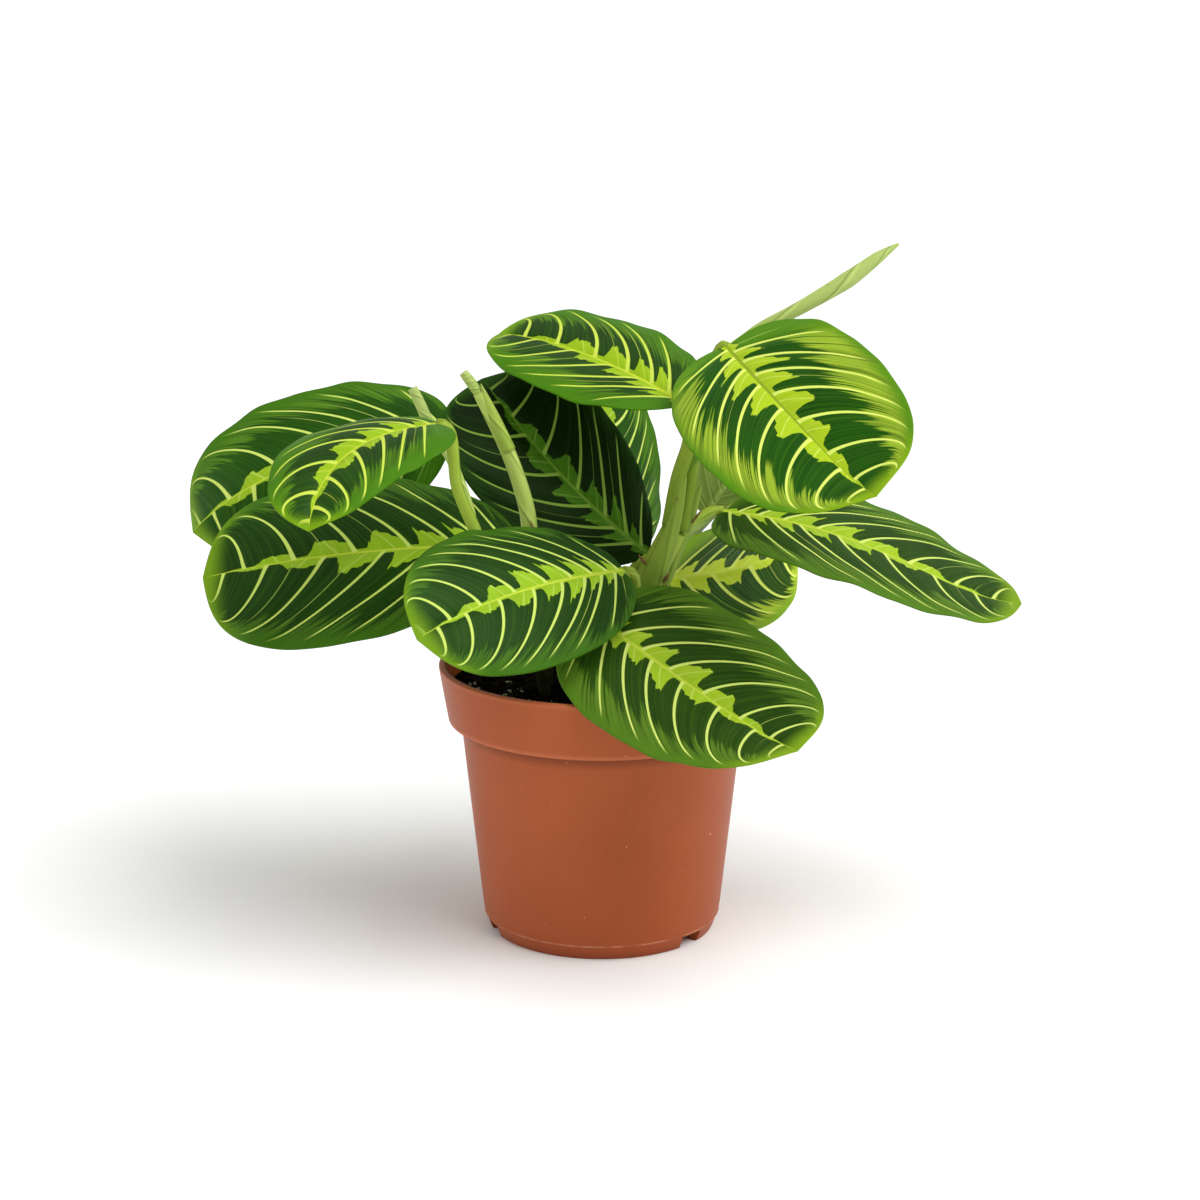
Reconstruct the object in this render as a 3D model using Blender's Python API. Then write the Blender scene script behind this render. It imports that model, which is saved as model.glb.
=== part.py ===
"""Potted prayer plant: a plastic nursery pot, its soil, and the leaves, stalks and rolled new leaves in it.

Origin: on the pot's axis, on the surface that the pot stands on. +Z is up and -Y is the front.
Plant dimensions are in millimetres and degrees and become metres where the meshes are made.
"""

import math

import bmesh
import bpy
from mathutils import Quaternion, Vector

MM = 0.001
GAP = 0.3  # clearance between neighbouring solids
BLADE_GAP = 0.5  # clearance between a blade and its stalk

# Pot: a lathed wall with a deep rim band, a raised floor and a foot ring with three drainage notches.
POT_HEIGHT = 101.0
RIM_RADIUS = 60.0
BAND_HEIGHT = 21.0
BAND_FOOT_RADIUS = 56.6
STEP_RADIUS = 52.0
HEEL_RADIUS = 44.4
HEEL_HEIGHT = 9.0
FOOT_RADIUS = 41.6
FOOT_WIDTH = 3.0
FOOT_FLARE = 1.2  # how much the wall opens between the foot's edge and a third of the heel's height
FLOOR_UNDERSIDE = 4.0
WALL = 1.6
LIP = 2.2
RIM_BEVEL = 0.8
BEVEL_HEIGHT = 1.0  # height of the bevels at the rim and under the band
FLOOR_FILLET = 2.0  # width of the slope between the floor and the wall inside
POT_SIDES = 48
NOTCH_AZIMUTHS = (-160.0, -40.0, 80.0)
NOTCH_WIDTH = 10.0
NOTCH_HEIGHT = 4.6
NOTCH_REACH = 14.0  # how far the cutter reaches across the foot ring
NOTCH_TOP_SHARE = 0.8  # width of the notch at its top, as a share of its nominal width
NOTCH_FOOT_SHARE = 1.6  # the same below the pot
DRAIN_RADIUS = 3.5
DRAIN_CIRCLE = 27.0
DRAIN_COUNT = 4
DRAIN_SIDES = 12

# Soil: it fills the pot and stands a little higher in the middle.
SOIL_EDGE = 91.0
SOIL_CROWN = 93.0
SHOULDER_SHARE = 0.8  # where the surface is half way up, as a share of the edge's radius
CROWN_SHARE = 0.45  # where the flat top starts
STALK_TOP_OF_SOIL = 94.0
ROOTED_DEPTH = 14.0

# Leaf blades.
BLADE_THICKNESS = 0.7
SPINE_STEPS = 96
ROW_STRIDE = 8
BLADE_COLUMNS = 6
OUTLINE_POWER = 2.25

# Stalks.
STALK_SIDES = 8
STALK_RADII = (2.0, 1.6)  # at the foot and at the blade
STALK_SPANS = 4  # rings between two places of a petiole
STEM_SPANS = 3  # rings between two places of a stem

# Colours and roughness.
LEAF_ROUGHNESS = 0.35
POT_ROUGHNESS = 0.45
STALK_ROUGHNESS = 0.5
PEAT_ROUGHNESS = 0.95
LEAF_DARK = (0.030, 0.105, 0.018)
LEAF_YOUNG = (0.120, 0.260, 0.020)
STALK_GREEN = (0.330, 0.450, 0.080)
ROLLED_GREEN = (0.480, 0.580, 0.200)
TERRACOTTA = (0.330, 0.090, 0.038)
PEAT = (0.012, 0.010, 0.008)

# Each blade starts at its base and runs along its heading (from +X, anticlockwise) at its pitch.
# roll lifts its left side, arch bends it down over its whole length and curl over its tip,
# sweep bends it to the left, twist turns it about its midrib, fold and cup lift its sides,
# and skew moves its widest place towards its tip.
LEAVES = {
    "leaf_back_left": dict(
        base=(-56, 33, 182.5), heading=176, pitch=-6, roll=-47, length=115, width=70,
        arch=22, curl=32, sweep=24, twist=-22, fold=-17, cup=-6, skew=1.05, colour=LEAF_DARK),
    "leaf_young_left": dict(
        base=(-58, -24, 194), heading=206, pitch=1, roll=1, length=78, width=54,
        arch=29, curl=19, sweep=58, twist=-21, fold=9, cup=-30, skew=0.54, curl_power=2.5, colour=LEAF_YOUNG),
    "leaf_low_left": dict(
        base=(-30, -15, 148), heading=180, pitch=1, roll=-37, length=119, width=73,
        arch=22, curl=5, sweep=0, twist=-11, fold=3, cup=-20, skew=1.24, colour=LEAF_DARK),
    "leaf_front_left": dict(
        base=(8, -12, 138), heading=224, pitch=6, roll=-33, length=99, width=61,
        arch=11, curl=23, sweep=13, twist=-15, fold=6, cup=-24, skew=1.05, colour=LEAF_DARK),
    "leaf_front_right": dict(
        base=(-3, -24, 124.5), heading=-43, pitch=-21, roll=28, length=107, width=71,
        arch=-12, curl=-12, sweep=-4, twist=-8, fold=9, cup=-18, skew=0.81, colour=LEAF_DARK),
    "leaf_back_centre": dict(
        base=(17, 16, 138), heading=181, pitch=38, roll=-63, length=95, width=60,
        arch=24, curl=26, sweep=-31, twist=5, fold=2, cup=-5, skew=1.35, colour=LEAF_DARK),
    "leaf_behind": dict(
        base=(15, 44, 135), heading=118, pitch=58, roll=44, length=90, width=57,
        arch=8, curl=0, sweep=-14, twist=-24, fold=2, cup=7, skew=1.07, colour=LEAF_DARK),
    "leaf_top_left": dict(
        base=(30, -2, 197), heading=133, pitch=18, roll=-19, length=91, width=57,
        arch=5, curl=16, sweep=19, twist=7, fold=11, cup=-24, skew=1.15, colour=LEAF_YOUNG),
    "leaf_top_right": dict(
        base=(45, 10, 216), heading=-73, pitch=-11, roll=28, length=117, width=72,
        arch=26, curl=-33, sweep=7, twist=-1, fold=11, cup=-13, skew=0.95, colour=LEAF_YOUNG),
    "leaf_right": dict(
        base=(46, 42, 148), heading=-28, pitch=2, roll=11, length=119, width=71,
        arch=47, curl=-40, sweep=18, twist=-5, fold=2, cup=-4, skew=0.83, colour=LEAF_DARK),
    "leaf_low_right": dict(
        base=(20, 21, 127), heading=42, pitch=-8, roll=90, length=87, width=50,
        arch=16, curl=-9, sweep=10, twist=1, fold=10, cup=25, skew=1.05, colour=LEAF_YOUNG),
    "leaf_hidden_right": dict(
        base=(40, 67, 141), heading=8, pitch=57, roll=-90, length=73, width=42,
        arch=6, curl=4, sweep=0, twist=0, fold=4, cup=-8, skew=1.0, colour=LEAF_DARK),
}

# Each petiole stands straight in the soil at its foot and meets its blade along the blade's own line.
# via holds the places that it passes through, and radius its size at the foot and at the blade.
PETIOLES = {
    "petiole_back_left": dict(
        leaf="leaf_back_left", foot=(-20, 12), via=[(-24, 17, 128), (-34, 24, 151), (-46, 31.5, 169)]),
    "petiole_young_left": dict(
        leaf="leaf_young_left", foot=(-21, -13), radius=(2.4, 2.0),
        via=[(-28, -22, 117), (-37.5, -30.5, 139), (-44.5, -26, 155), (-51, -26, 171)]),
    "petiole_low_left": dict(leaf="leaf_low_left", foot=(-13, -1)),
    "petiole_front_left": dict(leaf="leaf_front_left", foot=(6, -4)),
    "petiole_front_right": dict(leaf="leaf_front_right", foot=(-11, -11)),
    "petiole_back_centre": dict(leaf="leaf_back_centre", foot=(2, 15), via=[(10.5, 14, 129)]),
    "petiole_behind": dict(leaf="leaf_behind", foot=(9, 36)),
    "petiole_low_right": dict(leaf="leaf_low_right", foot=(12, 19)),
    "petiole_hidden_right": dict(leaf="leaf_hidden_right", foot=(22, 42)),
    "petiole_right": dict(
        leaf="leaf_right", foot=(18, 6), via=[(20, 9, 118), (23, 13, 132), (33, 26, 145.5)],
        radius=(2.2, 1.8)),
    "petiole_top_left": dict(
        leaf="leaf_top_left", foot=None, via=[(24.5, 4, 151), (27.5, 3, 168), (31.5, -1, 184)],
        radius=(2.2, 1.7)),
    "petiole_top_right": dict(
        leaf="leaf_top_right", foot=None, via=[(29.3, 4, 149), (32.5, 6, 170), (36, 11, 190)],
        radius=(2.2, 1.8)),
}

# Sheathed stems and rolled new leaves: places that they pass through, with half width and half depth.
STEMS = {
    "stem_clump": dict(foot=(9, 7), colour=STALK_GREEN, places=[
        (9, 7, 94, 4.6, 3.2), (12, 5, 112, 4.8, 3.2), (17, 4, 130, 5.2, 3.3), (26.2, 4, 149, 4.8, 2.8)]),
    "sheath_centre": dict(foot=(-21, -4), colour=ROLLED_GREEN, places=[
        (-21, -4, 94, 3.0, 3.0), (-24, -5, 125, 3.0, 3.0), (-26, -6, 150, 3.0, 3.0),
        (-28, -6, 163, 2.9, 2.9), (-34, -6, 181, 2.7, 2.7), (-44, -6, 202, 2.2, 2.2)]),
    "rolled_leaf_centre": dict(foot=None, colour=ROLLED_GREEN, places=[
        (-44.4, -6, 202.6, 1.9, 1.9), (-47, -6, 206, 1.9, 1.9), (-49.5, -6, 209.3, 1.6, 1.6)]),
    "rolled_leaf_left": dict(foot=None, colour=ROLLED_GREEN, places=[
        (-46.5, -22.4, 163, 1.2, 1.2), (-54, -9, 178, 1.8, 1.8), (-62, 3, 188, 2.1, 2.1),
        (-65.5, 3, 196, 2.0, 2.0), (-68.3, 3, 202, 1.8, 1.8)]),
    "rolled_leaf_right": dict(foot=None, colour=ROLLED_GREEN, places=[
        (39.8, 13.2, 192, 1.3, 1.3), (46, 17, 210, 1.7, 1.7), (55, 17, 220, 2.0, 2.0),
        (72, 18, 229, 2.5, 2.5), (89, 19, 239, 3.1, 3.1), (100, 20, 247, 2.2, 2.2),
        (107.5, 20, 252, 0.5, 0.5)]),
}


def clear_scene():
    for thing in list(bpy.data.objects):
        bpy.data.objects.remove(thing, do_unlink=True)


def finish(name, mesh, colour, roughness):
    """Turn a bmesh in millimetres into a named object in metres with its own material."""
    bmesh.ops.recalc_face_normals(mesh, faces=mesh.faces)
    bmesh.ops.scale(mesh, vec=(MM, MM, MM), verts=mesh.verts)
    data = bpy.data.meshes.new(name)
    mesh.to_mesh(data)
    mesh.free()
    data.shade_smooth()
    data.set_sharp_from_angle(angle=math.radians(40))
    material = bpy.data.materials.new(name)
    material.use_nodes = True
    shader = material.node_tree.nodes["Principled BSDF"]
    shader.inputs["Base Color"].default_value = (*colour, 1.0)
    shader.inputs["Roughness"].default_value = roughness
    shader.inputs["Metallic"].default_value = 0.0
    data.materials.append(material)
    thing = bpy.data.objects.new(name, data)
    bpy.context.collection.objects.link(thing)
    return thing


def cut(target, cutter):
    cutter.hide_render = True
    cutter.display_type = "WIRE"
    hole = target.modifiers.new(cutter.name, "BOOLEAN")
    hole.operation = "DIFFERENCE"
    hole.solver = "EXACT"
    hole.object = cutter


def bridge(mesh, first, second):
    """Join two rings of vertices with quads, or a ring and a pole with triangles."""
    count = max(len(first), len(second))
    for i in range(count):
        j = (i + 1) % count
        near = [first[i % len(first)], first[j % len(first)]]
        far = [second[j % len(second)], second[i % len(second)]]
        mesh.faces.new(list(dict.fromkeys(near + far)))


def lathe(profile, sides):
    """Turn a profile of (radius, height) about +Z; it starts and ends on the axis."""
    mesh = bmesh.new()
    rings = []
    for radius, height in profile:
        steps = sides if radius > 0 else 1
        angles = [math.tau * i / sides for i in range(steps)]
        rings.append([mesh.verts.new((radius * math.cos(a), radius * math.sin(a), height)) for a in angles])
    for lower, upper in zip(rings, rings[1:]):
        bridge(mesh, lower, upper)
    return mesh


def route(points, start, end, spans):
    """Smooth curve through the points that leaves along start and arrives along end."""
    points = [Vector(p) for p in points]
    slopes = [(c - a) / 2 for a, c in zip(points, points[2:])]
    slopes.insert(0, Vector(start) * (points[1] - points[0]).length)
    slopes.append(Vector(end) * (points[-1] - points[-2]).length)
    curve = []
    for a, b, m, n in zip(points, points[1:], slopes, slopes[1:]):
        for i in range(spans):
            t = i / spans
            curve.append(a * (2 * t ** 3 - 3 * t ** 2 + 1) + m * (t ** 3 - 2 * t ** 2 + t)
                         + b * (3 * t ** 2 - 2 * t ** 3) + n * (t ** 3 - t ** 2))
    return curve + [points[-1]]


def tube(path, sizes, end=None):
    """Closed tube with an oval section: sizes holds its half width and half depth at each place."""
    mesh = bmesh.new()
    side = Vector((1, 0, 0))
    rings = []
    for i, (centre, (wide, deep)) in enumerate(zip(path, sizes)):
        along = (path[min(i + 1, len(path) - 1)] - path[max(i - 1, 0)]).normalized()
        if end and i == len(path) - 1:
            along = end
        side = (side - along * side.dot(along)).normalized()
        back = along.cross(side)
        angles = [math.tau * k / STALK_SIDES for k in range(STALK_SIDES)]
        rings.append([mesh.verts.new(centre + side * wide * math.cos(a) + back * deep * math.sin(a))
                      for a in angles])
    for lower, upper in zip(rings, rings[1:]):
        bridge(mesh, lower, upper)
    mesh.faces.new(rings[0])
    mesh.faces.new(rings[-1])
    return mesh


def buried(foot, extra=0.0):
    """The two ends of a stalk's straight stretch in the soil, with extra length at both for its socket."""
    heights = (STALK_TOP_OF_SOIL - ROOTED_DEPTH - extra, STALK_TOP_OF_SOIL + extra)
    return [Vector((*foot, height)) for height in heights]


def spread(first, last, count):
    """Sizes that change evenly from first to last over a number of places."""
    return [tuple(a + (b - a) * i / (count - 1) for a, b in zip(first, last)) for i in range(count)]


def spine(leaf):
    """Places along a blade's midrib with the directions forward, left and up at each."""
    heading, pitch, roll = (math.radians(leaf[key]) for key in ("heading", "pitch", "roll"))
    forward = Vector((math.cos(heading), math.sin(heading), math.tan(pitch))).normalized()
    left = Vector((-math.sin(heading), math.cos(heading), 0))
    left.rotate(Quaternion(forward, roll))
    up = forward.cross(left)
    power = leaf.get("curl_power", 6)
    place = Vector(leaf["base"])
    stations = [(0.0, place.copy(), forward.copy(), left.copy(), up.copy())]
    for i in range(SPINE_STEPS):
        here = (1 - math.cos(math.pi * i / SPINE_STEPS)) / 2
        there = (1 - math.cos(math.pi * (i + 1) / SPINE_STEPS)) / 2
        droop = leaf["arch"] * (there - here) + leaf["curl"] * (there ** power - here ** power)
        turn = left * droop + up * leaf["sweep"] * (there - here) + forward * leaf["twist"] * (there - here)
        half = Quaternion(turn.normalized(), math.radians(turn.length) / 2)
        forward.rotate(half)
        place = place + forward * leaf["length"] * (there - here)
        forward.rotate(half)
        left.rotate(half @ half)
        up = forward.cross(left)
        stations.append((there, place.copy(), forward.copy(), left.copy(), up.copy()))
    return stations


def half_width(leaf, along):
    """Half of the blade's width: a broad oval with blunt ends."""
    place = 2 * along ** leaf["skew"] - 1
    return leaf["width"] / 2 * max(0.0, 1 - abs(place) ** OUTLINE_POWER) ** (1 / OUTLINE_POWER)


def section(leaf, station, across):
    """Point of the blade and its normal, across from -1 at the right margin to 1 at the left one."""
    along, place, _, left, up = station
    reach = half_width(leaf, along)
    share = reach / (leaf["width"] / 2)
    fold = math.radians(leaf["fold"])
    bend = math.radians(leaf["cup"]) * share
    slope = fold + bend * abs(across)
    out, lift = abs(across) * math.cos(fold), abs(across) * math.sin(fold)
    if abs(bend) > 1e-6:
        out = (math.sin(slope) - math.sin(fold)) / bend
        lift = (math.cos(fold) - math.cos(slope)) / bend
    side = math.copysign(1, across) if across else 0
    normal = (up * math.cos(slope) - left * side * math.sin(slope)).normalized()
    return place + left * side * out * reach + up * lift * reach, normal


def blade(leaf):
    """Thin closed solid over the blade's curved face, pointed at its base and tip."""
    mesh = bmesh.new()
    stations = spine(leaf)[::ROW_STRIDE]
    columns = [2 * j / BLADE_COLUMNS - 1 for j in range(BLADE_COLUMNS + 1)]
    loops = []
    for i, station in enumerate(stations):
        ends = i in (0, len(stations) - 1)
        places = [section(leaf, station, across) for across in ([0.0] if ends else columns)]
        top = [mesh.verts.new(point + normal * BLADE_THICKNESS / 2) for point, normal in places]
        under = [mesh.verts.new(point - normal * BLADE_THICKNESS / 2) for point, normal in places]
        loops.append(top + under[::-1] if not ends else top * len(columns) + under * len(columns))
    for first, second in zip(loops, loops[1:]):
        for k in range(len(first)):
            j = (k + 1) % len(first)
            corners = [first[k], first[j], second[j], second[k]]
            mesh.faces.new(list(dict.fromkeys(corners)))
    return mesh


def make_pot():
    inner_heel = HEEL_RADIUS - WALL
    band_foot = POT_HEIGHT - BAND_HEIGHT
    outside = [
        (0, FLOOR_UNDERSIDE), (FOOT_RADIUS - FOOT_WIDTH, FLOOR_UNDERSIDE), (FOOT_RADIUS - FOOT_WIDTH, 0),
        (FOOT_RADIUS, 0), (FOOT_RADIUS + FOOT_FLARE, HEEL_HEIGHT / 3), (HEEL_RADIUS, HEEL_HEIGHT),
        (STEP_RADIUS, band_foot - BEVEL_HEIGHT), (BAND_FOOT_RADIUS, band_foot),
        (RIM_RADIUS, POT_HEIGHT - BEVEL_HEIGHT), (RIM_RADIUS - RIM_BEVEL, POT_HEIGHT),
    ]
    inside = [
        (RIM_RADIUS - LIP, POT_HEIGHT), (BAND_FOOT_RADIUS - WALL, band_foot + BEVEL_HEIGHT),
        (STEP_RADIUS - WALL, band_foot - BEVEL_HEIGHT), (inner_heel, HEEL_HEIGHT),
        (inner_heel - FLOOR_FILLET, FLOOR_UNDERSIDE + WALL), (0, FLOOR_UNDERSIDE + WALL),
    ]
    pot = finish("pot", lathe(outside + inside, POT_SIDES), TERRACOTTA, POT_ROUGHNESS)
    for i, azimuth in enumerate(NOTCH_AZIMUTHS):
        notch = bmesh.new()
        bmesh.ops.create_cube(notch, size=1)
        bmesh.ops.scale(notch, vec=(NOTCH_REACH, NOTCH_WIDTH, 2 * NOTCH_HEIGHT), verts=notch.verts)
        for corner in notch.verts:
            corner.co.y *= NOTCH_TOP_SHARE if corner.co.z > 0 else NOTCH_FOOT_SHARE
        bmesh.ops.translate(notch, vec=(FOOT_RADIUS, 0, 0), verts=notch.verts)
        turn = Quaternion((0, 0, 1), math.radians(azimuth)).to_matrix()
        bmesh.ops.rotate(notch, matrix=turn, verts=notch.verts)
        cut(pot, finish(f"foot_notch_cutter_{i}", notch, TERRACOTTA, POT_ROUGHNESS))
    for i in range(DRAIN_COUNT):
        angle = math.tau * (i + 0.5) / DRAIN_COUNT
        drain = bmesh.new()
        bmesh.ops.create_cone(drain, cap_ends=True, segments=DRAIN_SIDES, radius1=DRAIN_RADIUS,
                              radius2=DRAIN_RADIUS, depth=2 * WALL)
        centre = (DRAIN_CIRCLE * math.cos(angle), DRAIN_CIRCLE * math.sin(angle), FLOOR_UNDERSIDE + WALL / 2)
        bmesh.ops.translate(drain, vec=centre, verts=drain.verts)
        cut(pot, finish(f"drain_cutter_{i}", drain, TERRACOTTA, POT_ROUGHNESS))


def make_soil():
    """The soil takes the pot's inner shape, with a socket for each stalk."""
    inner_heel = HEEL_RADIUS - WALL - GAP
    band_foot = POT_HEIGHT - BAND_HEIGHT
    slope = (RIM_RADIUS - LIP - BAND_FOOT_RADIUS + WALL) / (BAND_HEIGHT - BEVEL_HEIGHT)
    edge = BAND_FOOT_RADIUS - WALL + slope * (SOIL_EDGE - band_foot - BEVEL_HEIGHT) - GAP
    profile = [
        (0, FLOOR_UNDERSIDE + WALL + GAP), (inner_heel - FLOOR_FILLET, FLOOR_UNDERSIDE + WALL + GAP),
        (inner_heel, HEEL_HEIGHT), (STEP_RADIUS - WALL - GAP, band_foot - BEVEL_HEIGHT + GAP),
        (BAND_FOOT_RADIUS - WALL - GAP, band_foot + BEVEL_HEIGHT + GAP), (edge, SOIL_EDGE),
        (edge * SHOULDER_SHARE, (SOIL_EDGE + SOIL_CROWN) / 2), (edge * CROWN_SHARE, SOIL_CROWN),
        (0, SOIL_CROWN),
    ]
    soil = finish("soil", lathe(profile, POT_SIDES), PEAT, PEAT_ROUGHNESS)
    feet = [(stalk["foot"], stalk.get("radius", STALK_RADII)[:1] * 2) for stalk in PETIOLES.values()]
    feet += [(stem["foot"], stem["places"][0][3:]) for stem in STEMS.values()]
    for i, (foot, size) in enumerate(pair for pair in feet if pair[0]):
        sizes = [tuple(half + GAP for half in size)] * 2
        cut(soil, finish(f"socket_cutter_{i}", tube(buried(foot, GAP), sizes), PEAT, PEAT_ROUGHNESS))


def make_leaves():
    for name, leaf in LEAVES.items():
        finish(name, blade(leaf), leaf["colour"], LEAF_ROUGHNESS)


def make_petioles():
    for name, petiole in PETIOLES.items():
        leaf = LEAVES[petiole["leaf"]]
        _, base, forward, _, _ = spine(leaf)[0]
        end = base - forward * BLADE_GAP
        places = [Vector(p) for p in petiole.get("via", [])] + [end]
        root = []
        if petiole["foot"]:
            root = buried(petiole["foot"])[:1]
            places.insert(0, buried(petiole["foot"])[1])
        start = (0, 0, 1) if petiole["foot"] else (places[1] - places[0]).normalized()
        path = root + route(places, start, forward, STALK_SPANS)
        first, last = petiole.get("radius", STALK_RADII)
        sizes = spread((first, first), (last, last), len(path))
        finish(name, tube(path, sizes, end=forward), STALK_GREEN, STALK_ROUGHNESS)


def make_stems():
    for name, stem in STEMS.items():
        places = [Vector(place[:3]) for place in stem["places"]]
        start = (0, 0, 1) if stem["foot"] else (places[1] - places[0]).normalized()
        path = route(places, start, (places[-1] - places[-2]).normalized(), STEM_SPANS)
        sizes = []
        for first, last in zip(stem["places"], stem["places"][1:]):
            sizes += spread(first[3:], last[3:], STEM_SPANS + 1)[:STEM_SPANS]
        sizes.append(stem["places"][-1][3:])
        if stem["foot"]:
            path.insert(0, buried(stem["foot"])[0])
            sizes.insert(0, sizes[0])
        finish(name, tube(path, sizes), stem["colour"], STALK_ROUGHNESS)


clear_scene()
make_pot()
make_soil()
make_leaves()
make_petioles()
make_stems()
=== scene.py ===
"""Looks of the potted prayer plant: patterned blades, stalks, rolled leaves, soil and pot on a pale floor.

Places and sizes are in millimetres and degrees, and become metres where the meshes are made. Heights in the
finishes, and the camera, are in metres.
"""

import itertools
import math

import bpy
import numpy as np
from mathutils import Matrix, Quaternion, Vector


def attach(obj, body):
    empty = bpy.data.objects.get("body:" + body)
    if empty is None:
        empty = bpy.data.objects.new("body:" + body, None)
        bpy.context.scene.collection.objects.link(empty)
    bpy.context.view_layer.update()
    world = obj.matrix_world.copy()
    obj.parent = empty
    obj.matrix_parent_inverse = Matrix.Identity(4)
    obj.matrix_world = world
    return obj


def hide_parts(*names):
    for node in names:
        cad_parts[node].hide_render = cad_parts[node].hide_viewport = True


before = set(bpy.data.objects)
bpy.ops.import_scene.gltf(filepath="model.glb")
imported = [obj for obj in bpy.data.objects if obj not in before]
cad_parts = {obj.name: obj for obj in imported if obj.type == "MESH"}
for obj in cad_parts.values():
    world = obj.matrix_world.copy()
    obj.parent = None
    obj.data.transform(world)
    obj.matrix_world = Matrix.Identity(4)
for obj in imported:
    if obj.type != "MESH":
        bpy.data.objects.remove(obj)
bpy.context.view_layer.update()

MM = 0.001

# Blades: rows and columns of their meshes, thickness, oval and tip.
ROWS = 192
COLUMNS = 72
BLADE_THICKNESS = 0.45
OUTLINE_POWER = 2.25
TIP_ANGLE = 77
TIP_STUB = 0.02
CURL_POWER = 6

# Relief of a blade: arched between the veins, sunken along the midrib, raised under it, waved at the margin.
QUILT_DEPTH = 0.42
GROOVE_DEPTH = 0.5
GROOVE_WIDTH = 1.6
KEEL = 1.1
KEEL_WIDTH = 1.1
WAVE_HEIGHT = 0.5
FINE_WAVE = 0.6
PHASE_RANGE = 6.28

# How many veins leave each side of the midrib before each place from 0 at the base to 1 at the tip.
VEIN_PLACES = (0, 0.05, 0.1, 0.2, 0.3, 0.4, 0.5, 0.6, 0.7, 0.8, 0.9, 1)
VEIN_COUNTS = (0, 1.0, 1.8, 2.98, 3.87, 4.61, 5.25, 5.84, 6.44, 7.1, 7.9, 8.8)
SPACING_LIMITS = (1.0, 16.0)

# Stalks: where the soil starts, how deep they are rooted, and the swollen joint below a blade.
SOIL_LEVEL = 94.0
ROOTED_DEPTH = 14.0
SWELLING = 0.22
SWELLING_PLACE = 5

# Pot: notches in its foot ring, and how smoothly it is turned.
NOTCH_AZIMUTHS = (-160, -40, 80)
NOTCH_WIDTH = 10.0
NOTCH_HEIGHT = 4.6
FOOT_RADIUS = 42
FOOT_STEPS = 40
POT_SIDES = 160

# Soil: its edge, how far the surface reaches, and what lies on it.
SOIL_EDGE = 91.0
SOIL_CROWN = 91.6
SOIL_SIDES = 200
SOIL_RINGS = 70
SCATTER_RADIUS = 54
CRUMBS = 900
PERLITE_GRAINS = 130


# ---------------------------------------------------------------- finishes

class Value:
    """A node's output that Python's operators extend with Math nodes."""

    def __init__(self, finish, socket):
        self.finish = finish
        self.socket = socket

    def math(self, operation, *others):
        return self.finish.add("ShaderNodeMath", {"operation": operation}, dict(enumerate((self, *others))))

    def __add__(self, other):
        return self.math("ADD", other)

    def __radd__(self, other):
        return self.math("ADD", other)

    def __sub__(self, other):
        return self.math("SUBTRACT", other)

    def __rsub__(self, other):
        return self.finish.add("ShaderNodeMath", {"operation": "SUBTRACT"}, {0: other, 1: self})

    def __mul__(self, other):
        return self.math("MULTIPLY", other)

    def __rmul__(self, other):
        return self.math("MULTIPLY", other)

    def __truediv__(self, other):
        return self.math("DIVIDE", other)

    def __lt__(self, other):
        return self.math("LESS_THAN", other)

    def __abs__(self):
        return self.math("ABSOLUTE")

    def __mod__(self, other):
        return self.math("FLOORED_MODULO", other)

    def floor(self):
        return self.math("FLOOR")

    def rise(self, low, high):
        """0 below low and 1 above high, with a smooth step between them."""
        return self.finish.add("ShaderNodeMapRange", {"interpolation_type": "SMOOTHSTEP"},
                               {"Value": self, "From Min": low, "From Max": high})

    def fall(self, low, high):
        """1 below low and 0 above high, with a smooth step between them."""
        return 1 - self.rise(low, high)


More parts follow.
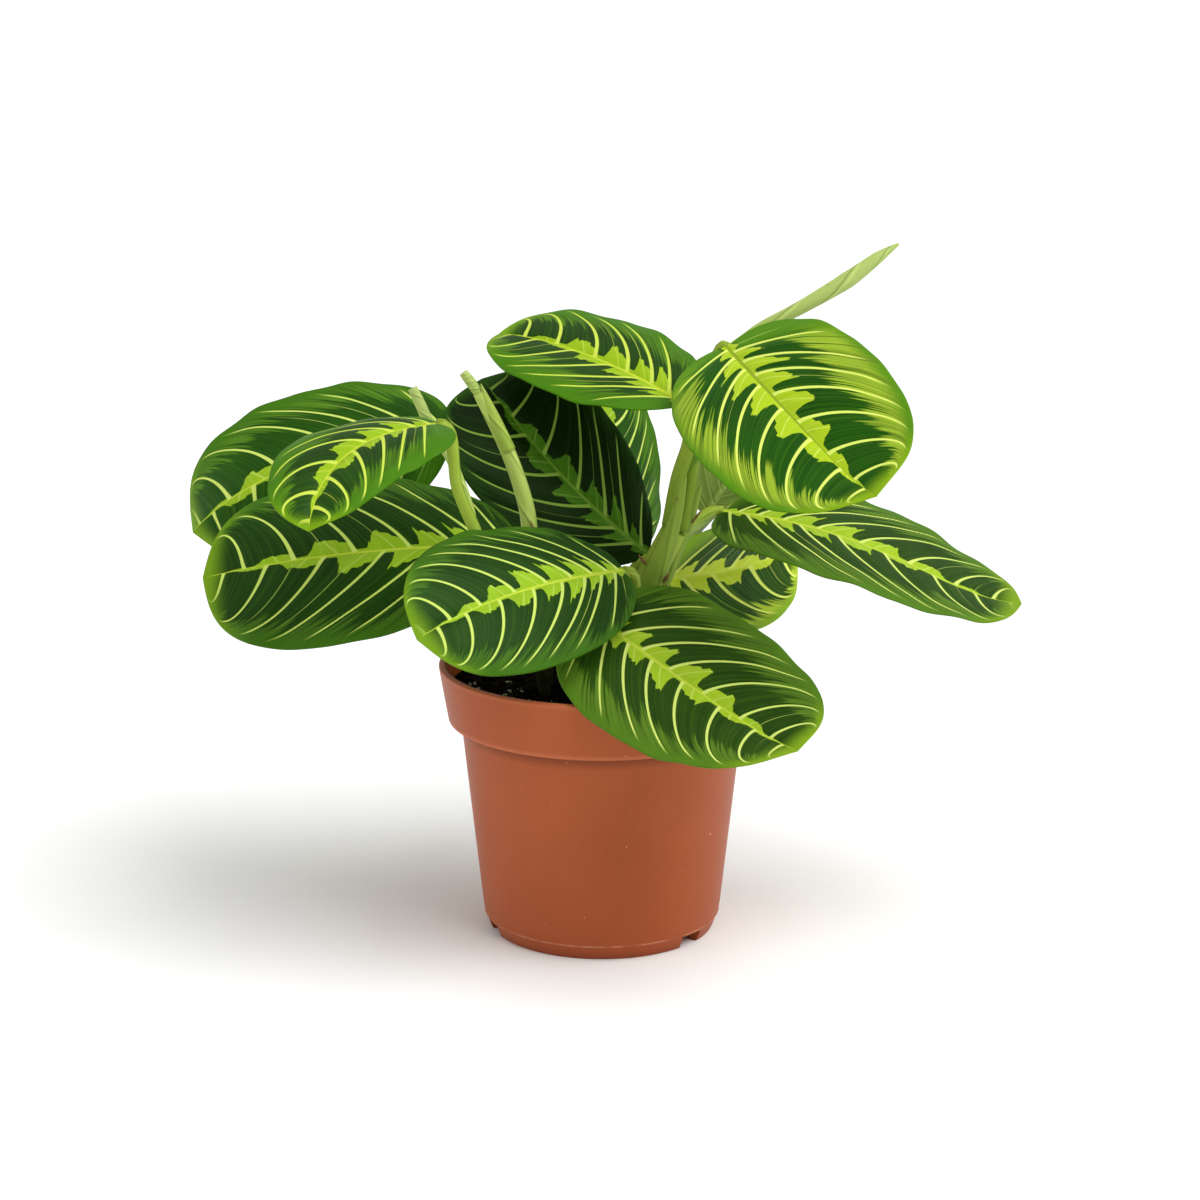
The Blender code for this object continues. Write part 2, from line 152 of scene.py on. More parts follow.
class Finish:
    """A material: its nodes are added by type, settings and inputs."""

    def __init__(self, name, **constants):
        self.material = bpy.data.materials.new(name)
        self.material.use_nodes = True
        self.tree = self.material.node_tree
        self.shader = self.tree.nodes["Principled BSDF"]
        for socket, value in constants.items():
            self.shader.inputs[socket.replace("_", " ")].default_value = value

    def add(self, kind, settings=None, inputs=None, output=0):
        node = self.tree.nodes.new(kind)
        for name, value in (settings or {}).items():
            setattr(node, name, value)
        for name, value in (inputs or {}).items():
            self.feed(node.inputs[name], value)
        return Value(self, node.outputs[output])

    def feed(self, socket, value):
        if isinstance(value, Value):
            self.tree.links.new(value.socket, socket)
        elif isinstance(value, tuple) and len(value) == 3 and socket.type == "RGBA":
            socket.default_value = (*value, 1.0)
        else:
            socket.default_value = value

    def blend(self, factor, first, second):
        """Mix of two colours."""
        return self.add("ShaderNodeMix", {"data_type": "RGBA"}, {0: factor, 6: first, 7: second}, output=2)

    def layout(self, name):
        """The two numbers that a piece stores at each point under that name."""
        place = self.add("ShaderNodeUVMap", {"uv_map": name})
        split = self.add("ShaderNodeSeparateXYZ", None, {0: place})
        return split, Value(self, split.socket.node.outputs[1])

    def noise(self, scale, detail=2.0, roughness=0.5, stretch=(1, 1, 1)):
        """Soft noise in the object's own metres, about 0.5 on average."""
        place = self.add("ShaderNodeTexCoord", output="Object")
        placed = self.add("ShaderNodeMapping", None, {"Vector": place, "Scale": stretch})
        return self.add("ShaderNodeTexNoise", None,
                        {"Vector": placed, "Scale": scale, "Detail": detail, "Roughness": roughness})

    def height(self):
        """Height above the floor in metres."""
        place = self.add("ShaderNodeTexCoord", output="Object")
        return self.add("ShaderNodeSeparateXYZ", None, {0: place}, output=2)

    def chance(self, number):
        """A random number from 0 to 1 that stays the same for the same number."""
        return self.add("ShaderNodeTexWhiteNoise", {"noise_dimensions": "1D"}, {"W": number})

    def colour(self, value):
        self.feed(self.shader.inputs["Base Color"], value)

    def roughness(self, value):
        self.feed(self.shader.inputs["Roughness"], value)

    def bump(self, height, distance):
        normal = self.add("ShaderNodeBump", None, {"Height": height, "Distance": distance, "Strength": 1.0})
        self.feed(self.shader.inputs["Normal"], normal)


def srgb(red, green, blue):
    """A colour given as it looks, 0 to 255, turned into the linear values that shaders take."""
    def linear(value):
        value = value / 255
        return value / 12.92 if value <= 0.04045 else ((value + 0.055) / 1.055) ** 2.4
    return (linear(red), linear(green), linear(blue))


def shaded(colour, share):
    """The colour made darker, or lighter where the share is over 1."""
    return tuple(min(1.0, share * channel) for channel in colour)


def leaf_face(name, seed, dark, margin, streak, band, vein, rib, streak_start, streak_share, margin_start,
              base_zone, tall=7.4, floor=1.3, thick=1.0):
    """Upper side of a blade: pale veins, a toothed band along the midrib, streaks and a lighter margin."""
    finish = Finish(name, Specular_IOR_Level=0.16, Specular_Tint=(0.55, 1.0, 0.35, 1.0))
    number, reach = finish.layout("veins")
    spacing, _ = finish.layout("field")
    across, share = finish.layout("blade")
    side = across < 0
    number = number + side * 0.5
    strip = number % 1.0
    interval = number.floor() + side * 37 + seed
    outward = abs(across)
    soft = finish.noise(60, 3)
    tooth = number * 6.0
    coarse = finish.chance(tooth.floor() + side * 311 + seed * 17)
    stripe = finish.chance((number * 19).floor() + side * 211 + seed * 13)
    fine = finish.chance((number * 52).floor() + side * 97 + seed)

    # Dark ground between the veins, lighter streaks further out, and a plain margin.
    ground = finish.blend(soft.rise(0.35, 0.7), dark, shaded(dark, 0.74))
    ground = finish.blend(fine.rise(0.4, 1.0) * 0.22, ground, margin)
    step = (coarse - 0.5) * 0.16 + (stripe - 0.5) * 0.18
    fades = finish.chance(interval + 0.25) * 0.14
    streaky = (outward + (share - 0.5) * 0.16 + step - fades).rise(streak_start - 0.05, streak_start + 0.06)
    lines = (stripe * 0.7 + fine * 0.25 + soft * 0.4).rise(0.25, 0.95)
    ground = finish.blend(streaky * (0.35 + lines * 0.65) * streak_share, ground, streak)
    place = outward + (share - 0.55) * 0.16 + (stripe - 0.5) * 0.08 + (soft - 0.5) * 0.12
    plain = place.rise(margin_start - 0.10, margin_start + 0.08)
    ends = number.fall(base_zone - 0.5, base_zone + 0.5) * reach.rise(1.5, 4.0) + share.rise(0.90, 0.985)
    rim = finish.blend(fine * 0.35 + soft * 0.25, margin, shaded(margin, 0.72))
    # Towards the tip the margin turns half way to the band's colour: a painted highlight.
    rim = finish.blend(share.rise(0.82, 1.0) * 0.5, rim, band)
    ground = finish.blend(plain.math("MAXIMUM", ends.math("MINIMUM", 1.0)), ground, rim)

    # One lobe between two veins: it starts against the first, peaks half way and ends in a notch.
    hill = strip.rise(-0.36, 0.48) * strip.fall(0.49, 0.80)
    teeth = 0.86 + (coarse - 0.5) * 0.30 + (tooth % 1.0).fall(0.0, 1.0) * 0.16 + (stripe - 0.5) * 0.07
    bell = share.rise(-0.06, 0.24) * share.fall(0.40, 0.98)
    height = bell * (0.82 + finish.chance(interval) * 0.36) * tall
    lobes = floor * share.fall(0.45, 1.0) + height * hill * teeth
    lobes = lobes * share.fall(0.88, 0.97) * share.rise(-0.05, 0.03)
    in_band = (reach - lobes).fall(-0.18, 0.22) * share.fall(0.95, 0.985)
    pale = finish.blend(soft.rise(0.3, 0.7) * 0.5, band, shaded(band, 0.80))
    branch = abs(strip - 0.28 - reach * 0.02).fall(0.0, 0.035) * 0.5
    pale = finish.blend(branch + fine * 0.15, pale, vein)
    ground = finish.blend(in_band, ground, pale)

    # Veins: widest at the midrib, fading before the margin, with a few thin ones between them.
    from_vein = (0.5 - abs(strip - 0.5)) * spacing
    width = (0.26 + 0.42 * outward.fall(0.0, 1.1) + reach.fall(0.0, 4.0) * 0.16) * thick
    line = (from_vein / width).fall(0.62, 1.15) * (outward + stripe * 0.05).fall(0.84, 0.96)
    line = line * (number.rise(0.25, 0.7) * 0.45 + 0.55) * share.fall(0.93, 0.985)
    thin = (abs(strip - 0.47) * spacing / 0.17).fall(0.4, 1.4)
    thin = thin * finish.chance(interval + 0.5).rise(0.68, 0.85)
    thin = thin * outward.fall(0.5, 0.85) * (reach - lobes).rise(-3.0, 0.5) * 0.55 * share.fall(0.8, 0.9)
    ground = finish.blend(thin.math("MAXIMUM", line), ground, vein)
    middle = (reach / (0.12 + 0.62 * share.fall(0.0, 1.0))).fall(0.6, 1.15) * share.fall(0.95, 0.995)
    finish.colour(finish.blend(middle, ground, rib))
    finish.roughness(0.40 + soft * 0.12 + line * 0.06)
    finish.bump(fine * 0.25 + line * 0.8 + finish.noise(900, 2) * 0.25, 0.00008)
    return finish.material


def leaf_back(name, seed):
    """Underside of a blade: grey-green, with slightly darker strips and raised paler veins."""
    finish = Finish(name, Roughness=0.55, Specular_IOR_Level=0.15, Specular_Tint=(0.7, 1.0, 0.5, 1.0))
    pale = srgb(138, 162, 78)
    vein = srgb(168, 190, 100)
    number, reach = finish.layout("veins")
    spacing, _ = finish.layout("field")
    across, share = finish.layout("blade")
    side = across < 0
    number = number + side * 0.5
    strip = number % 1.0
    fine = finish.chance((number * 30).floor() + side * 97 + seed)
    from_vein = (0.5 - abs(strip - 0.5)) * spacing
    line = (from_vein / 0.5).fall(0.5, 1.3) * abs(across).fall(0.75, 1.0)
    midrib = (reach / (0.4 + 0.8 * share.fall(0.1, 1.0))).fall(0.6, 1.2)
    base = finish.blend(fine * 0.35 + finish.noise(60, 3) * 0.3, pale, shaded(pale, 0.8))
    base = finish.blend(line * 0.5, base, vein)
    finish.colour(finish.blend(midrib, base, vein))
    finish.bump(line + midrib + finish.noise(800, 2) * 0.2, 0.0002)
    return finish.material


def stalk_skin(name, foot, low, high, scar, wraps=0.0):
    """Stalk: streaks along it, dark at the foot, partly its own colour and partly painted shade, and paler
    above, with scars, the edges of its layers and a painted highlight beside each edge.
    """
    finish = Finish(name, Roughness=0.45, Specular_IOR_Level=0.22, Specular_Tint=(0.8, 1.0, 0.5, 1.0))
    edging = min(1.0, wraps)
    turn, along = finish.layout("stalk")
    height = finish.height()
    streak = finish.chance((turn * 30).floor())
    stripe = finish.chance((turn * 9).floor() + 0.5)
    soft = finish.noise(120, 3)
    base = finish.blend(along.rise(0.0, 1.0), low, high)
    base = finish.blend(streak * 0.28 + soft * 0.25, base, shaded(low, 0.60))
    base = finish.blend(stripe.rise(0.5, 0.9) * 0.35, base, high)
    edge = (turn + along * wraps + soft * 0.05) % 0.5
    line = edge.fall(0.0, 0.05) * edging
    base = finish.blend(line * 0.55, base, shaded(low, 0.45))
    # A lighter strip beside each layer's edge: a painted highlight.
    lit = edge.rise(0.05, 0.07) * edge.fall(0.07, 0.16) * 0.5 * edging
    base = finish.blend(lit, base, shaded(high, 1.25))
    # Dark at the foot: partly the stalk's own darker base, partly painted shade under the leaves.
    base = finish.blend((height + (soft - 0.5) * 0.012).fall(0.098, 0.124), base, foot)
    fleck = finish.noise(420, 2).rise(0.70, 0.78)
    finish.colour(finish.blend(fleck * 0.5, base, scar))
    finish.bump(streak * 0.4 + soft * 0.4 + line * -1.2, 0.00018)
    return finish.material


def dried_skin():
    """Dry, papery brown edge of an old sheath."""
    finish = Finish("dried_sheath", Roughness=0.8, Specular_IOR_Level=0.15)
    patch = finish.noise(260, 4, 0.6)
    fibre = finish.noise(900, 2, 0.5, (1, 1, 0.3))
    base = finish.blend(patch.rise(0.35, 0.65), srgb(132, 104, 56), srgb(84, 58, 30))
    finish.colour(finish.blend(fibre.rise(0.5, 0.7) * 0.5, base, srgb(176, 150, 100)))
    finish.bump(patch, 0.0003)
    return finish.material


def pot_plastic():
    """Terracotta-coloured plastic with grain, scuffs and dust, painted shade under the rim band, painted
    highlights on its edge and lip, and the mould line.
    """
    finish = Finish("terracotta_plastic", Specular_IOR_Level=0.22, Specular_Tint=(1.0, 0.72, 0.55, 1.0))
    # Colour of the painted highlights along the rim band's lower edge and on the lip.
    painted_highlight = srgb(206, 124, 86)
    cloud = finish.noise(9, 4)
    grain = finish.noise(900, 3)
    flow = finish.noise(30, 4, 0.6, (1, 1, 0.25))
    scuff = finish.noise(70, 5, 0.7, (1, 1, 3)).rise(0.64, 0.76)
    dust = finish.noise(520, 1).rise(0.79, 0.82)
    base = finish.blend(cloud.rise(0.35, 0.65), srgb(172, 88, 51), srgb(160, 79, 44))
    base = finish.blend(flow.rise(0.4, 0.7) * 0.25, base, srgb(146, 70, 38))
    base = finish.blend(grain * 0.2, base, srgb(136, 64, 36))
    base = finish.blend(scuff * 0.18, base, srgb(200, 130, 96))
    base = finish.blend(dust * 0.6, base, srgb(216, 180, 156))

    # By height: painted shade under the rim band, a painted highlight along its lower edge and on the lip, the
    # mould line and a darker foot.
    height = finish.height()
    shade = height.rise(0.0740, 0.0787) * height.fall(0.0790, 0.0800)
    base = finish.blend(shade * 0.55, base, srgb(92, 42, 24))
    edge = height.rise(0.0797, 0.0804) * height.fall(0.0806, 0.0822)
    base = finish.blend(edge * 0.35, base, painted_highlight)
    base = finish.blend(height.rise(0.0985, 0.1004) * 0.25, base, painted_highlight)
    seam = height.rise(0.0050, 0.0054) * height.fall(0.0056, 0.0061)
    base = finish.blend(seam * finish.noise(160, 3).rise(0.35, 0.65) * 0.55, base, srgb(222, 160, 130))
    finish.colour(finish.blend(height.fall(0.0, 0.0046) * 0.4, base, srgb(110, 52, 30)))
    finish.roughness(0.38 + cloud * 0.10 + scuff * 0.15 + grain * 0.05)
    finish.bump(grain * 0.4 + flow * 0.5 + finish.noise(60, 2) * 0.8, 0.00014)
    return finish.material


def peat():
    """Dark crumbly soil with paler fibres."""
    finish = Finish("peat", Roughness=0.95, Specular_IOR_Level=0.05)
    clump = finish.noise(160, 5, 0.6)
    fibre = finish.noise(1100, 3, 0.6, (1, 2.5, 1))
    base = finish.blend(clump.rise(0.35, 0.7), srgb(9, 7, 5), srgb(30, 23, 17))
    finish.colour(finish.blend(fibre.rise(0.58, 0.75) * 0.6, base, srgb(62, 46, 32)))
    finish.bump(clump + fibre * 0.4, 0.0012)
    return finish.material


def perlite():
    """Off-white porous grains."""
    finish = Finish("perlite", Roughness=0.85, Specular_IOR_Level=0.2)
    speck = finish.noise(1400, 3)
    finish.colour(finish.blend(speck.rise(0.35, 0.7), srgb(196, 190, 178), srgb(150, 140, 124)))
    finish.bump(speck, 0.0002)
    return finish.material


def studio_floor():
    finish = Finish("studio_floor", Roughness=0.9, Specular_IOR_Level=0.1)
    finish.colour(finish.blend(finish.noise(3, 1) * 0.2, (0.97, 0.97, 0.97), (0.95, 0.95, 0.95)))
    return finish.material


# ---------------------------------------------------------------- meshes

def make_object(name, points, faces, materials, slots=None, layouts=None, smooth=True):
    """An object in metres from points in millimetres, with the numbers that its finish reads."""
    mesh = bpy.data.meshes.new(name)
    mesh.from_pydata((np.asarray(points) * MM).tolist(), [], faces)
    for material in materials:
        mesh.materials.append(material)
    if slots is not None:
        mesh.polygons.foreach_set("material_index", slots)
    corners = np.zeros(len(mesh.loops), int)
    mesh.loops.foreach_get("vertex_index", corners)
    for layout, values in (layouts or {}).items():
        layer = mesh.uv_layers.new(name=layout)
        layer.data.foreach_set("uv", np.asarray(values)[corners].astype(np.float32).ravel())
    if smooth:
        mesh.shade_smooth()
    mesh.update()
    thing = bpy.data.objects.new(name, mesh)
    bpy.context.collection.objects.link(thing)
    return thing


def show(piece, node):
    """The piece takes the place of a CAD node."""
    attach(piece, "root")
    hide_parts(node)


# ---------------------------------------------------------------- blades

def spine(leaf):
    """Places along the midrib, and the directions forward, left and up at each."""
    heading, pitch, roll = (math.radians(leaf[key]) for key in ("heading", "pitch", "roll"))
    level = math.cos(pitch)
    forward = Vector((level * math.cos(heading), level * math.sin(heading), math.sin(pitch)))
    left = Vector((-math.sin(heading), math.cos(heading), 0))
    left.rotate(Quaternion(forward, roll))
    up = forward.cross(left)
    power = leaf.get("curl_power", CURL_POWER)
    place = Vector(leaf["base"])
    stations = [(place.copy(), forward.copy(), left.copy(), up.copy())]
    for i in range(ROWS):
        here = (1 - math.cos(math.pi * i / ROWS)) / 2
        there = (1 - math.cos(math.pi * (i + 1) / ROWS)) / 2
        droop = leaf["arch"] * (there - here) + leaf["curl"] * (there ** power - here ** power)
        turn = left * droop + up * leaf["sweep"] * (there - here) + forward * leaf["twist"] * (there - here)
        half = Quaternion(turn.normalized(), math.radians(turn.length) / 2)
        forward.rotate(half)
        place = place + forward * leaf["length"] * (there - here)
        forward.rotate(half)
        left.rotate(half @ half)
        up = forward.cross(left)
        stations.append((place.copy(), forward.copy(), left.copy(), up.copy()))
    return [np.array([station[k] for station in stations]) for k in range(4)]


def outline(leaf, along):
    """Half of the blade's width: a broad oval with a short point."""
    place = np.abs(2 * along ** leaf["skew"] - 1)
    oval = leaf["width"] / 2 * np.maximum(0, 1 - place ** OUTLINE_POWER) ** (1 / OUTLINE_POWER)
    point = (1 - along) * leaf["length"] * math.tan(math.radians(leaf.get("point", TIP_ANGLE))) + TIP_STUB
    return (np.maximum(oval, 1e-3) ** -4 + point ** -4) ** -0.25


def vein_field(leaf, along, across):
    """How many veins each point lies from the base; the veins fan out from the midrib and arc to the tip."""
    starts = np.linspace(0, 1, 600)
    sweep = (1 - starts) * (0.60 + 0.28 * starts) * (1 - np.exp(-starts / 0.1))
    counts = np.interp(starts, VEIN_PLACES, VEIN_COUNTS) * leaf.get("veins", 1.0)
    numbers = np.zeros((len(along), len(across)))
    for j, side in enumerate(np.abs(across)):
        ends = starts + sweep * (0.38 * side + 0.62 * side ** 2)
        numbers[:, j] = np.interp(along, ends, counts)
    return numbers


def vein_spacing(leaf, along, across, half, numbers):
    """Millimetres from one vein to the next at each point."""
    step = np.maximum(np.gradient(along * leaf["length"])[:, None], 1e-6)
    down = np.gradient(numbers, axis=0) / step
    over = np.gradient(numbers, axis=1) / np.maximum(np.gradient(across)[None] * half[:, None], 1e-3)
    down = down - over * across[None] * np.gradient(half)[:, None] / step
    return np.clip(1 / np.hypot(down, over), *SPACING_LIMITS)


def smooth_blade(leaf, across, half):
    """The blade's middle surface, folded at the midrib and cupped across, with its normals."""
    place, _, left, up = (part[:, None] for part in spine(leaf))
    fold = math.radians(leaf["fold"])
    bend = math.radians(leaf["cup"]) * (half / (leaf["width"] / 2))[:, None] + 1e-6
    slope = fold + bend * np.abs(across)
    out = (np.sin(slope) - math.sin(fold)) / bend * np.sign(across) * half[:, None]
    lift = (math.cos(fold) - np.cos(slope)) / bend * half[:, None]
    points = place + left * out[..., None] + up * lift[..., None]
    normals = up * np.cos(slope)[..., None] - left * (np.sign(across) * np.sin(slope))[..., None]
    return points, normals


def ripple(length, phases, coarse, fine):
    """Two waves along the margin."""
    return np.sin(length / coarse + phases[0]) + FINE_WAVE * np.sin(length / fine + phases[1])


def relief(leaf, seed, along, across, numbers, reach):
    """Heights on the middle surface: arched between the veins, sunken at the midrib, waved at the margin."""
    outward = np.abs(across)[None]
    body = np.clip(reach / 5, 0, 1) * np.clip((1 - outward) * 5, 0, 1)
    quilt = QUILT_DEPTH * np.abs(np.sin(np.pi * (numbers + 0.5 * (across < 0)))) ** 0.8 * body
    groove = -GROOVE_DEPTH * np.exp(-(reach / GROOVE_WIDTH) ** 2)
    phases = np.random.default_rng(seed).uniform(0, PHASE_RANGE, 4)
    length = along[:, None] * leaf["length"]
    wave = np.where(across < 0, ripple(length, phases[:2], 5.1, 2.9), ripple(length, phases[2:], 5.7, 3.1))
    ends = np.clip(np.sin(np.pi * along) * 2.5, 0, 1)[:, None]
    return (quilt + groove + wave * WAVE_HEIGHT * outward ** 3) * ends


def blade_faces():
    """Faces of the upper side, the underside and the rim between them, and the material slot of each."""
    count = (ROWS + 1) * (COLUMNS + 1)
    index = np.arange(count).reshape(ROWS + 1, COLUMNS + 1)
    sheet = np.stack([index[:-1, :-1], index[1:, :-1], index[1:, 1:], index[:-1, 1:]], -1).reshape(-1, 4)
    ring = np.concatenate([index[:-1, 0], index[-1, :-1], index[:0:-1, -1], index[0, :0:-1]])
    after = np.roll(ring, -1)
    rim = np.stack([ring, ring + count, after + count, after], -1)
    faces = np.concatenate([sheet[:, ::-1], sheet + count, rim[:, ::-1]]).tolist()
    return faces, np.array([0] * len(sheet) + [1] * len(sheet) + [0] * len(rim), np.int32)


def blade(name, leaf, seed, face, back):
    along = (1 - np.cos(np.pi * np.arange(ROWS + 1) / ROWS)) / 2
    across = np.linspace(-1, 1, COLUMNS + 1)
    half = outline(leaf, along)
    numbers = vein_field(leaf, along, across)
    reach = half[:, None] * np.abs(across)[None]
    points, normals = smooth_blade(leaf, across, half)
    points = points + normals * relief(leaf, seed, along, across, numbers, reach)[..., None]
    rows = along[:, None]
    keel = KEEL * np.exp(-(reach / KEEL_WIDTH) ** 2) * (1 - rows) * np.clip(rows * 25, 0, 1)
    top = points + normals * BLADE_THICKNESS / 2
    under = points - normals * (BLADE_THICKNESS / 2 + keel)[..., None]
    stored = {
        "veins": (numbers, reach),
        "field": (vein_spacing(leaf, along, across, half, numbers), rows),
        "blade": (across[None], rows),
    }
    layouts = {key: np.stack(np.broadcast_arrays(*pair), -1).reshape(-1, 2) for key, pair in stored.items()}
    layouts = {key: np.concatenate([values, values]) for key, values in layouts.items()}
    both = np.concatenate([top.reshape(-1, 3), under.reshape(-1, 3)])
    faces, slots = blade_faces()
    return make_object(name, both, faces, [face, back], slots, layouts)


# Each blade: where it starts, its heading, pitch and roll there, its length and width, how far it arches,
# curls at the tip, sweeps sideways and twists, its fold at the midrib and cup across, where it is widest (skew,
# over 1 towards the tip), and how its veins differ from the usual number.
LEAVES = {
    "leaf_back_left": dict(
        base=(-56, 33, 182.5), heading=176, pitch=-6, roll=-47, length=115, width=70,
        arch=22, curl=32, sweep=24, twist=-22, fold=-17, cup=-6, skew=1.05, veins=0.78, kind="mid"),
    "leaf_young_left": dict(
        base=(-58, -24, 194), heading=206, pitch=1, roll=1, length=78, width=54,
        arch=29, curl=19, sweep=58, twist=-21, fold=9, cup=-30, skew=0.54, curl_power=2.5, point=66,
        veins=0.78, kind="young"),
    "leaf_low_left": dict(
        base=(-30, -15, 148), heading=180, pitch=1, roll=-37, length=119, width=73,
        arch=22, curl=5, sweep=0, twist=-11, fold=3, cup=-20, skew=1.24, veins=0.86, kind="dark"),
    "leaf_front_left": dict(
        base=(8, -12, 138), heading=224, pitch=6, roll=-33, length=99, width=61,
        arch=11, curl=23, sweep=13, twist=-15, fold=6, cup=-24, skew=1.05, kind="dark"),
    "leaf_front_right": dict(
        base=(-3, -24, 124.5), heading=-43, pitch=-21, roll=28, length=107, width=71,
        arch=-12, curl=-12, sweep=-4, twist=-8, fold=9, cup=-18, skew=0.81, veins=0.92, kind="lit"),
    "leaf_back_centre": dict(
        base=(17, 16, 138), heading=181, pitch=38, roll=-63, length=95, width=60,
        arch=24, curl=26, sweep=-31, twist=5, fold=2, cup=-5, skew=1.35, veins=0.8, kind="shade"),
    "leaf_behind": dict(
        base=(15, 44, 135), heading=118, pitch=58, roll=44, length=90, width=57,
        arch=8, curl=0, sweep=-14, twist=-24, fold=2, cup=7, skew=1.07, kind="mid"),
    "leaf_top_left": dict(
        base=(30, -2, 197), heading=133, pitch=18, roll=-19, length=91, width=57,
        arch=5, curl=16, sweep=19, twist=7, fold=11, cup=-24, skew=1.15, veins=0.85, kind="young"),
    "leaf_top_right": dict(
        base=(45, 10, 216), heading=-73, pitch=-11, roll=28, length=117, width=72,
        arch=26, curl=-33, sweep=7, twist=-1, fold=11, cup=-13, skew=0.95, point=72,
        veins=0.92, kind="bright"),
    "leaf_right": dict(
        base=(46, 42, 148), heading=-28, pitch=2, roll=11, length=119, width=71,
        arch=47, curl=-40, sweep=18, twist=-5, fold=2, cup=-4, skew=0.83, kind="lit"),
    "leaf_low_right": dict(
        base=(20, 21, 127), heading=42, pitch=-8, roll=90, length=87, width=50,
        arch=16, curl=-9, sweep=10, twist=1, fold=10, cup=25, skew=1.05, veins=0.58, kind="small"),
    "leaf_hidden_right": dict(
        base=(40, 67, 141), heading=8, pitch=57, roll=-90, length=73, width=42,
        arch=6, curl=4, sweep=0, twist=0, fold=4, cup=-8, skew=1.0, kind="mid"),
}

# Patterns of the blades: colours, where streaks and margin start, and how many veins the margin's green covers
# at the base. Where they differ from the usual: height of the band's lobes and floor, and thickness of veins.
KINDS = {
    "dark": dict(
        dark=srgb(25, 56, 10), margin=srgb(60, 104, 18), streak=srgb(78, 120, 28), band=srgb(140, 178, 24),
        vein=srgb(192, 214, 100), rib=srgb(184, 202, 60), streak_start=0.70, streak_share=0.6,
        margin_start=0.90, base_zone=0.2),
    # Lighter copy of the dark pattern, for blades in full light: painted light.
    "lit": dict(
        dark=srgb(36, 66, 13), margin=srgb(82, 122, 26), streak=srgb(102, 140, 38), band=srgb(156, 190, 28),
        vein=srgb(206, 224, 112), rib=srgb(190, 208, 66), streak_start=0.60, streak_share=0.65,
        margin_start=0.88, base_zone=0.2),
    "mid": dict(
        dark=srgb(30, 72, 6), margin=srgb(62, 112, 12), streak=srgb(88, 134, 28), band=srgb(142, 178, 22),
        vein=srgb(198, 218, 104), rib=srgb(190, 208, 66), streak_start=0.60, streak_share=0.7,
        margin_start=0.88, base_zone=0.5),
    # Darker copy of the pattern, for the blade in the shade of the others: painted shade.
    "shade": dict(
        dark=srgb(7, 24, 2), margin=srgb(26, 58, 7), streak=srgb(34, 66, 12), band=srgb(56, 104, 12),
        vein=srgb(126, 158, 62), rib=srgb(100, 136, 40), tall=6.0, floor=1.6, streak_start=0.75,
        streak_share=0.3, margin_start=0.94, base_zone=0.1),
    "young": dict(
        dark=srgb(30, 62, 14), margin=srgb(70, 122, 12), streak=srgb(98, 148, 22), band=srgb(144, 180, 16),
        vein=srgb(196, 216, 80), rib=srgb(188, 206, 54), tall=6.2, floor=1.7, thick=1.15, streak_start=0.50,
        streak_share=0.6, margin_start=0.76, base_zone=1.0),
    "bright": dict(
        dark=srgb(22, 74, 3), margin=srgb(84, 138, 16), streak=srgb(156, 184, 48), band=srgb(168, 198, 16),
        vein=srgb(220, 236, 108), rib=srgb(140, 164, 36), tall=9.8, floor=1.7, thick=1.15, streak_start=0.58,
        streak_share=0.95, margin_start=0.93, base_zone=1.0),
    "small": dict(
        dark=srgb(22, 66, 6), margin=srgb(140, 182, 36), streak=srgb(178, 204, 58), band=srgb(200, 220, 48),
        vein=srgb(222, 236, 110), rib=srgb(204, 222, 80), tall=5.4, floor=1.4, thick=1.4, streak_start=0.68,
        streak_share=1.0, margin_start=0.92, base_zone=0.8),
}


def make_blades():
    for i, (name, leaf) in enumerate(LEAVES.items()):
        face = leaf_face(name + "_face", i * 5 + 1, **KINDS[leaf["kind"]])
        back = leaf_back(name + "_underside", i)
        piece = blade(name + "_blade", leaf, i + 3, face, back)
        show(piece, name)


# ---------------------------------------------------------------- stalks

def route(points, start, end, spans=10):
    """Smooth curve through the points that leaves along start and arrives along end."""
    slopes = [(c - a) / 2 for a, c in zip(points, points[2:])]
    slopes.insert(0, Vector(start) * (points[1] - points[0]).length)
    slopes.append(Vector(end) * (points[-1] - points[-2]).length)
    curve = []
    for a, b, m, n in zip(points, points[1:], slopes, slopes[1:]):
        for i in range(spans):
            t = i / spans
            curve.append(a * (2 * t ** 3 - 3 * t ** 2 + 1) + m * (t ** 3 - 2 * t ** 2 + t)
                         + b * (3 * t ** 2 - 2 * t ** 3) + n * (t ** 3 - t ** 2))
    return curve + [points[-1]]


def ring_faces(sides, rings):
    """Faces between rings of points that follow each other."""
    faces = []
    for i in range(rings - 1):
        for k in range(sides):
            j = (k + 1) % sides
            faces.append((i * sides + k, i * sides + j, (i + 1) * sides + j, (i + 1) * sides + k))
    return faces


def tube(name, path, sizes, skin, sides=20, ridges=0.0):
    """Closed stalk with an oval, finely ridged section."""
    side = Vector((1, 0, 0))
    turns = np.arange(sides) / sides
    points, stored = [], []
    for i, (centre, (wide, deep)) in enumerate(zip(path, sizes)):
        along = (path[min(i + 1, len(path) - 1)] - path[max(i - 1, 0)]).normalized()
        side = (side - along * side.dot(along)).normalized()
        back = along.cross(side)
        for turn in turns:
            swell = 1 + ridges * math.cos(5 * math.tau * turn)
            x, y = math.cos(math.tau * turn) * wide * swell, math.sin(math.tau * turn) * deep * swell
            points.append(centre + side * x + back * y)
            stored.append((turn, i / (len(path) - 1)))
    faces = ring_faces(sides, len(path))
    faces.append(tuple(range(sides))[::-1])
    faces.append(tuple(range(len(points) - sides, len(points))))
    return make_object(name, points, faces, [skin], layouts={"stalk": stored})


def sizes_along(stops, count):
    """Half widths and depths that change smoothly from stop to stop."""
    places = np.linspace(0, len(stops) - 1, count)
    columns = [np.interp(places, range(len(stops)), [stop[k] for stop in stops]) for k in (0, 1)]
    return list(zip(*columns))


